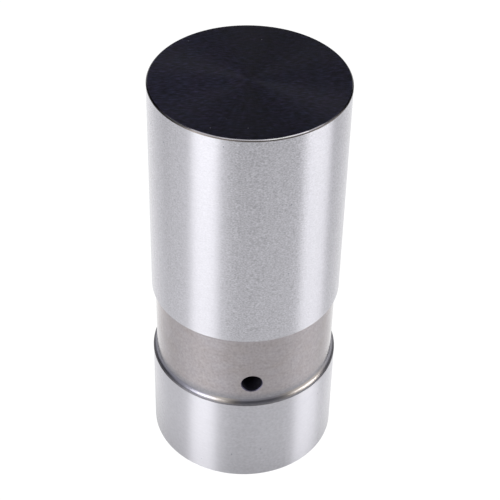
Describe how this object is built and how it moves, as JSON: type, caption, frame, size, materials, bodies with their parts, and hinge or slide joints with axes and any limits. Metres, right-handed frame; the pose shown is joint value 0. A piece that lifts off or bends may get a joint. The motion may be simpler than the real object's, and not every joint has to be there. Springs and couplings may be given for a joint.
{
  "type": "flat tappet",
  "caption": "Mechanical flat tappet: a ground steel cylinder with a black coated cam face, an oil band with an oil hole, and a ball socket for the pushrod inside its open end.",
  "frame": {"origin": "centre of the open pushrod end, which the tappet stands on", "axes": "+Z along the axis towards the cam face, -Y towards the oil hole"},
  "size_m": [0.0222, 0.0222, 0.0505],
  "materials": {
    "ground_steel": "centreless ground lands, a rougher turned oil band and a satin black coated cam face",
    "hardened_seat_steel": "turned and hardened, polished in the ball socket",
    "disc_steel": "stamped and tumbled sheet steel",
    "spring_wire": "flat spring wire, oil tempered"
  },
  "bodies": {
    "tappet": {"tappet_body": "ground_steel", "pushrod_seat": "hardened_seat_steel", "retaining_ring": "spring_wire"},
    "disc": {"metering_disc": "disc_steel"}
  },
  "joints": [
    {"name": "disc_lift", "type": "slide", "parent": "tappet", "child": "disc", "axis": [0, 0, 1], "range_m": [0, 0.0004]}
  ]
}
